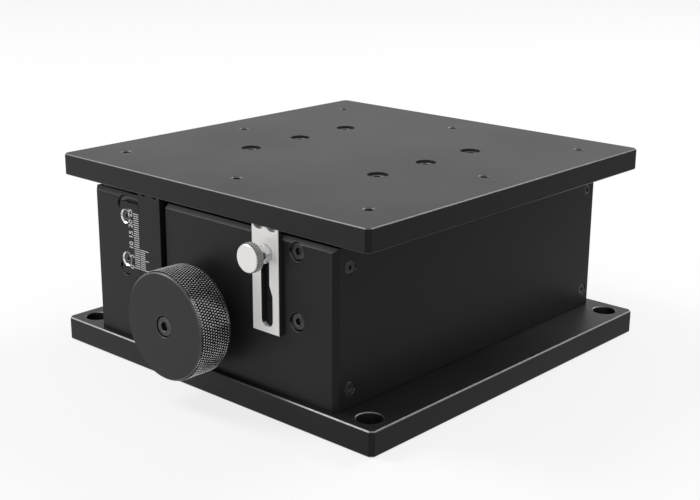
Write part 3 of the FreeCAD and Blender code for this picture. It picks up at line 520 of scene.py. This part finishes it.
def knurlBand(piece, cut):
    # cuts the drum's side into rows, turns the squares into diamonds, raises each and rounds its top
    slack = turning["slack"] * mm
    bpy.ops.object.mode_set(mode="EDIT")
    chooseEdges(piece, lambda e: abs(e.verts[0].co.y - e.verts[1].co.y) > slack)
    bpy.ops.mesh.subdivide(number_cuts=cut["rows"] - 1)
    chooseFaces(piece, isSide)
    corners = {v.index for v in bmesh.from_edit_mesh(piece.data).verts}
    bpy.ops.mesh.poke(offset=0.0)
    ends = [v.co.y for v in bmesh.from_edit_mesh(piece.data).verts]
    low, high = min(ends) + slack, max(ends) - slack

    def isSquareEdge(edge):
        # between two squares, so not round either end of the drum
        first, second = edge.verts
        if first.index not in corners or second.index not in corners:
            return False
        places = (first.co.y, second.co.y)
        return max(places) >= low and min(places) <= high

    chooseEdges(piece, isSquareEdge)
    bpy.ops.mesh.dissolve_edges(use_verts=False)
    chooseFaces(piece, lambda f: len(f.verts) == 4 and isSide(f))
    flankDepth = cut["knurlDepth"] - cut["crown"]
    bpy.ops.mesh.inset(thickness=cut["flank"] * mm, depth=flankDepth * mm, use_individual=True)
    shadeFlanks(piece)
    bpy.ops.mesh.inset(thickness=cut["shoulder"] * mm, depth=cut["crown"] * mm, use_individual=True)


def shadeFlanks(piece):
    # the second material, a dark painted shade for the knurl's valleys, goes to the cut flanks, so
    # that the selected tops keep the first
    mesh = bmesh.from_edit_mesh(piece.data)
    tops = [f for f in mesh.faces if f.select]
    for top in tops:
        for edge in top.edges:
            for flank in edge.link_faces:
                if not flank.select:
                    flank.material_index = 1
    bmesh.update_edit_mesh(piece.data)


def shadeInside(piece, centre, valley, sidesOnly):
    # what lies inside the knurled band takes the third material, or only its turned sides do
    mesh = bmesh.from_edit_mesh(piece.data)
    for face in mesh.faces:
        place = face.calc_center_median()
        across = math.hypot(place.x - centre[0] * mm, place.z - centre[1] * mm)
        wanted = not sidesOnly or abs(face.normal.y) < turning["turnedBelow"]
        if wanted and across < (valley - turning["bandLip"]) * mm:
            face.material_index = 2
    bmesh.update_edit_mesh(piece.data)


def endFaceIndex(piece, side):
    # the many-sided face that closes the drum at that end
    mesh = bmesh.from_edit_mesh(piece.data)
    mesh.faces.ensure_lookup_table()
    best = max((f for f in mesh.faces if isEnd(f, side)), key=lambda f: len(f.verts))
    return best.index


def insetEnd(piece, side, thickness, depth):
    index = endFaceIndex(piece, side)
    chooseFaces(piece, lambda f: f.index == index)
    bpy.ops.mesh.inset(thickness=thickness * mm, depth=depth * mm)


def extrudeEnd(piece, side, travel):
    index = endFaceIndex(piece, side)
    chooseFaces(piece, lambda f: f.index == index)
    bpy.ops.mesh.extrude_region_move(TRANSFORM_OT_translate={"value": (0, travel * mm, 0)})


def joinBores(piece):
    # opens both bores' ends, which lie in one plane, and closes the step between them
    rearIndex = endFaceIndex(piece, 1)
    frontIndex = endFaceIndex(piece, -1)
    chooseFaces(piece, lambda f: f.index in (rearIndex, frontIndex))
    bpy.ops.mesh.delete(type="ONLY_FACE")
    chooseEdges(piece, lambda e: len(e.link_faces) == 1)
    bpy.ops.mesh.bridge_edge_loops()


print("tools ready")

# Hand knob

knob = {
    "radius": 23.7, "front": -118.0, "rear": -101.0, "height": 35.5, "chamfer": 0.6,
    "teeth": 120, "rows": 6, "knurlDepth": 0.42, "flank": 0.23, "crown": 0.10, "shoulder": 0.13,
    "recessRadius": 4.65, "recessDepth": 5.4, "recessLip": 0.2, "wall": 2.6,
    "screwRadius": 2.55, "shaftRadius": 4.02,
}


def makeKnob():
    k = knob
    valley = k["radius"] - k["knurlDepth"]
    centre = (0, k["height"])
    drum = addRound("knurledKnob", valley, k["front"] + k["chamfer"], k["rear"] - k["chamfer"],
                    centre, k["teeth"])
    # the tops take bright metal, a painted highlight standing in for the glints of the black knurl;
    # the flanks take a near-black painted shade; the rest is the knob's black
    for name in ("brightCut", "blackKnurlPaintedShade", "blackKnob"):
        drum.data.materials.append(finishes[name])
    knurlBand(drum, k)
    for side in (-1, 1):
        insetEnd(drum, side, k["chamfer"], k["chamfer"])
    insetEnd(drum, -1, valley - k["chamfer"] - k["recessRadius"] - k["recessLip"], 0)
    insetEnd(drum, -1, k["recessLip"], -k["recessLip"])
    extrudeEnd(drum, -1, k["recessDepth"] - k["recessLip"])
    insetEnd(drum, -1, k["recessRadius"] - k["screwRadius"], 0)
    extrudeEnd(drum, -1, k["wall"])
    insetEnd(drum, 1, valley - k["chamfer"] - k["shaftRadius"], 0)
    extrudeEnd(drum, 1, -(k["rear"] - k["front"] - k["recessDepth"] - k["wall"]))
    joinBores(drum)
    shadeInside(drum, centre, valley, sidesOnly=False)
    bpy.ops.object.mode_set(mode="OBJECT")
    smoothPiece(drum)
    return drum


handKnob = makeKnob()
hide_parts("hand_knob")
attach(handKnob, "screw_shaft")
print("hand knob knurled")

# Thumb screw

thumb = {
    "x": 38.6, "height": 70.6, "back": -97.6, "headRadius": 6.2, "headWidth": 4.0, "chamfer": 0.3,
    "teeth": 34, "rows": 2, "knurlDepth": 0.34, "flank": 0.10, "crown": 0.05, "shoulder": 0.08,
    "markRadius": 0.35, "markSlope": 0.2, "markDepth": 0.15,
    "collarRadius": 4.2, "collarWidth": 3.0, "collarChamfer": 0.3, "neckRadius": 3.2, "neckWidth": 1.7,
    "threadRadius": 2.0, "threadEnd": -82.0, "threadChamfer": 0.4,
}


def makeThumbScrew():
    t = thumb
    headRear = t["back"] - t["neckWidth"] - t["collarWidth"]
    front = headRear - t["headWidth"]
    valley = t["headRadius"] - t["knurlDepth"]
    centre = (t["x"], t["height"])
    drum = addRound("knurledThumbScrew", valley, front + t["chamfer"], headRear - t["chamfer"],
                    centre, t["teeth"])
    # the knurl's tops keep stainless, its flanks a dark painted shade, the turned sides inside the
    # band bright metal
    for name in ("stainless", "stainlessKnurlPaintedShade", "brightCut"):
        drum.data.materials.append(finishes[name])
    knurlBand(drum, t)
    for side in (-1, 1):
        insetEnd(drum, side, t["chamfer"], t["chamfer"])
    insetEnd(drum, -1, valley - t["chamfer"] - t["markRadius"], 0)
    insetEnd(drum, -1, t["markSlope"], -t["markDepth"])
    insetEnd(drum, 1, valley - t["chamfer"] - t["collarRadius"], 0)
    extrudeEnd(drum, 1, t["collarWidth"] - t["collarChamfer"])
    insetEnd(drum, 1, t["collarChamfer"], t["collarChamfer"])
    insetEnd(drum, 1, t["collarRadius"] - t["collarChamfer"] - t["neckRadius"], 0)
    extrudeEnd(drum, 1, t["neckWidth"])
    insetEnd(drum, 1, t["neckRadius"] - t["threadRadius"], 0)
    extrudeEnd(drum, 1, t["threadEnd"] - t["back"] - t["threadChamfer"])
    insetEnd(drum, 1, t["threadChamfer"], t["threadChamfer"])
    shadeInside(drum, centre, valley, sidesOnly=True)
    bpy.ops.object.mode_set(mode="OBJECT")
    smoothPiece(drum)
    return drum


thumbScrew = makeThumbScrew()
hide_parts("clamp_thumb_screw")
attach(thumbScrew, "thumb_screw_body")
print("thumb screw knurled")

# Scale, vernier and digits

scale = {
    "face": -95.4, "proud": 0.03, "deep": 0.08, "line": 0.34, "zero": 46.2, "longEvery": 5,
    "digitX": -47.6, "digitHeight": 2.6, "digitDepth": 0.05, "digitWeight": 0.03,
    "capShare": 0.7,     # a digit's height as a share of its text size
}
mainLines = {"foot": -42.05, "side": -1, "divisions": 25, "pitch": 1.0, "short": 3.6, "long": 4.0}
vernierLines = {"foot": -41.75, "side": 1, "divisions": 10, "pitch": 0.9, "short": 3.4, "long": 5.8}


def addMark(left, right, height):
    # one filled line on the front face
    s = scale
    middle = s["face"] + (s["deep"] - s["proud"]) / 2
    clearSelection()
    bpy.ops.mesh.primitive_cube_add(
        size=1, location=((left + right) / 2 * mm, middle * mm, height * mm),
        scale=((right - left) * mm, (s["deep"] + s["proud"]) * mm, s["line"] * mm))
    return startPiece("mark")


def makeMarks(lines, name):
    # one above the other from zero, each from its foot to its own side
    marks = []
    for step in range(lines["divisions"] + 1):
        length = lines["short"] if step % scale["longEvery"] else lines["long"]
        left, right = sorted((lines["foot"], lines["foot"] + lines["side"] * length))
        marks.append(addMark(left, right, scale["zero"] + step * lines["pitch"]))
    return joinPieces(marks, name)


def makeDigits():
    s = scale
    digits = []
    for value in range(0, mainLines["divisions"] + 1, s["longEvery"]):
        clearSelection()
        bpy.ops.object.text_add(
            location=(s["digitX"] * mm, (s["face"] - s["proud"]) * mm,
                      (s["zero"] + value * mainLines["pitch"]) * mm),
            rotation=(math.pi / 2, -math.pi / 2, 0))
        text = bpy.context.active_object
        text.data.body = str(value)
        text.data.size = s["digitHeight"] / s["capShare"] * mm
        text.data.align_x = "CENTER"
        text.data.align_y = "CENTER"
        text.data.extrude = s["digitDepth"] * mm
        text.data.offset = s["digitWeight"] * mm
        bpy.ops.object.convert(target="MESH")
        digits.append(startPiece("digit"))
    return joinPieces(digits, "mainScaleDigits")


rims = {
    "x": -50.6, "heights": (49.4, 69.2), "outer": 3.3, "inner": 2.75, "sides": 48,
    "proud": 0.42, "sunk": 0.02, "lip": 0.08, "lipRise": 0.04, "dish": 0.6,
}


def makeScrewRims():
    # the turned collar round each scale screw, dished towards the head
    r = rims
    pieces = []
    for height in r["heights"]:
        rim = addRound("rim", r["outer"], scale["face"] - r["proud"], scale["face"] + r["sunk"],
                       (r["x"], height), r["sides"])
        bpy.ops.object.mode_set(mode="EDIT")
        insetEnd(rim, -1, r["lip"], r["lipRise"])
        insetEnd(rim, -1, r["outer"] - r["lip"] - r["inner"], -r["dish"])
        joinBores(rim)
        bpy.ops.object.mode_set(mode="OBJECT")
        pieces.append(rim)
    return joinPieces(pieces, "scaleScrewRims")


screwRims = makeScrewRims()
screwRims.data.materials.append(finishes["brightCut"])
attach(screwRims, "frame")

scaleMarks = makeMarks(mainLines, "mainScaleMarks")
vernierMarks = makeMarks(vernierLines, "vernierMarks")
scaleDigits = makeDigits()
for marks, body in ((scaleMarks, "frame"), (vernierMarks, "lift_table"), (scaleDigits, "frame")):
    marks.data.materials.append(finishes["whiteFill"])
    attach(marks, body)
print("scale engraved")

# Floor, light and camera

room = {
    "floorSize": 12.0, "floorDrop": 0.0002,                 # metres
    "paper": 0.9, "paperRough": 0.8, "paperSheen": 0.1, "paperGlow": 0.78, "ambient": 0.5,
    "fadeFrom": -0.06, "fadeTo": 0.22, "darkest": 0.36,     # of the floor, as the pieces mirror it
}


def seenDirectly(tree):
    # 1 where the camera, a reflection or a clear piece sees the surface, 0 for the light it casts
    path = tree.nodes.new("ShaderNodeLightPath")
    seen = newMath(tree, "MAXIMUM", path.outputs["Is Camera Ray"], path.outputs["Is Glossy Ray"])
    return newMath(tree, "MAXIMUM", seen, path.outputs["Is Transmission Ray"])


def floorLevel(tree):
    # 1, but to a reflection it falls towards the right, as in a studio that is darker on that side
    coordinates = tree.nodes.new("ShaderNodeTexCoord")
    split = tree.nodes.new("ShaderNodeSeparateXYZ")
    tree.links.new(coordinates.outputs["Object"], split.inputs["Vector"])
    lit = smoothStep(tree, split.outputs["X"], room["fadeTo"], room["fadeFrom"])
    gain = newMath(tree, "MULTIPLY", lit, 1.0 - room["darkest"])
    shade = newMath(tree, "ADD", gain, room["darkest"])
    missing = newMath(tree, "SUBTRACT", 1.0, shade)
    path = tree.nodes.new("ShaderNodeLightPath")
    lost = newMath(tree, "MULTIPLY", path.outputs["Is Glossy Ray"], missing)
    return newMath(tree, "SUBTRACT", 1.0, lost)


def makeFloor():
    clearSelection()
    bpy.ops.mesh.primitive_plane_add(size=room["floorSize"], location=(0, 0, -room["floorDrop"]))
    floor = startPiece("paleFloor")
    paint = bpy.data.materials.new("whitePaper")
    paint.use_nodes = True
    tree = paint.node_tree
    paper = tree.nodes["Principled BSDF"]
    paper.inputs["Roughness"].default_value = room["paperRough"]
    paper.inputs["Specular IOR Level"].default_value = room["paperSheen"]
    glow = tree.nodes.new("ShaderNodeEmission")
    both = tree.nodes.new("ShaderNodeMixShader")
    level = floorLevel(tree)
    brightness = newMath(tree, "MULTIPLY", level, room["paper"])
    grey = tree.nodes.new("ShaderNodeCombineColor")
    for channel in ("Red", "Green", "Blue"):
        tree.links.new(brightness, grey.inputs[channel])
    tree.links.new(grey.outputs["Color"], paper.inputs["Base Color"])
    tree.links.new(level, glow.inputs["Strength"])
    glowShare = newMath(tree, "MULTIPLY", seenDirectly(tree), room["paperGlow"])
    tree.links.new(glowShare, both.inputs["Fac"])
    tree.links.new(paper.outputs["BSDF"], both.inputs[1])
    tree.links.new(glow.outputs["Emission"], both.inputs[2])
    tree.links.new(both.outputs["Shader"], tree.nodes["Material Output"].inputs["Surface"])
    floor.data.materials.append(paint)


def makeRoom():
    world = bpy.data.worlds.new("whiteRoom")
    bpy.context.scene.world = world
    world.use_nodes = True
    tree = world.node_tree
    background = tree.nodes["Background"]
    background.inputs["Color"].default_value = (1.0, 1.0, 1.0, 1.0)
    extra = newMath(tree, "MULTIPLY", seenDirectly(tree), 1.0 - room["ambient"])
    tree.links.new(newMath(tree, "ADD", extra, room["ambient"]), background.inputs["Strength"])


lamps = {
    "keyLamp": {"place": (-1.15, -0.62, 1.35), "aim": (0, 0, 0.05), "size": 0.6, "power": 16.0},
    "rimLamp": {"place": (0.22, 1.25, 1.15), "aim": (0, 0, 0.08), "size": 0.5, "power": 12.0},
}


def aimAt(thing, place, target):
    thing.location = place
    direction = Vector(target) - Vector(place)
    thing.rotation_euler = direction.to_track_quat("-Z", "Y").to_euler()


def makeLamps():
    for name, lamp in lamps.items():
        clearSelection()
        bpy.ops.object.light_add(type="AREA")
        light = bpy.context.active_object
        light.name = name
        light.data.size = lamp["size"]
        light.data.energy = lamp["power"]
        aimAt(light, lamp["place"], lamp["aim"])


view = {
    "place": (0.3908, -0.4357, 0.2193), "yaw": 42.074, "pitch": 16.772, "roll": 0.340,
    "focalPixels": 1277.9, "frameWidth": 700.0, "sensorWidth": 36.0, "nearest": 0.01,
}


def makeCamera():
    clearSelection()
    bpy.ops.object.camera_add(location=view["place"])
    camera = bpy.context.active_object
    camera.name = "photoCamera"
    aimed = Euler((math.radians(90 - view["pitch"]), 0, math.radians(view["yaw"]))).to_matrix()
    rolled = Matrix.Rotation(math.radians(view["roll"]), 3, "Z")
    camera.rotation_euler = (aimed @ rolled).to_euler()
    camera.data.sensor_width = view["sensorWidth"]
    camera.data.lens = view["focalPixels"] / view["frameWidth"] * view["sensorWidth"]
    camera.data.clip_start = view["nearest"]
    bpy.context.scene.camera = camera


makeFloor()
makeRoom()
makeLamps()
makeCamera()
bpy.context.scene.view_settings.view_transform = "Standard"
clearSelection()
print("floor, light and camera set")
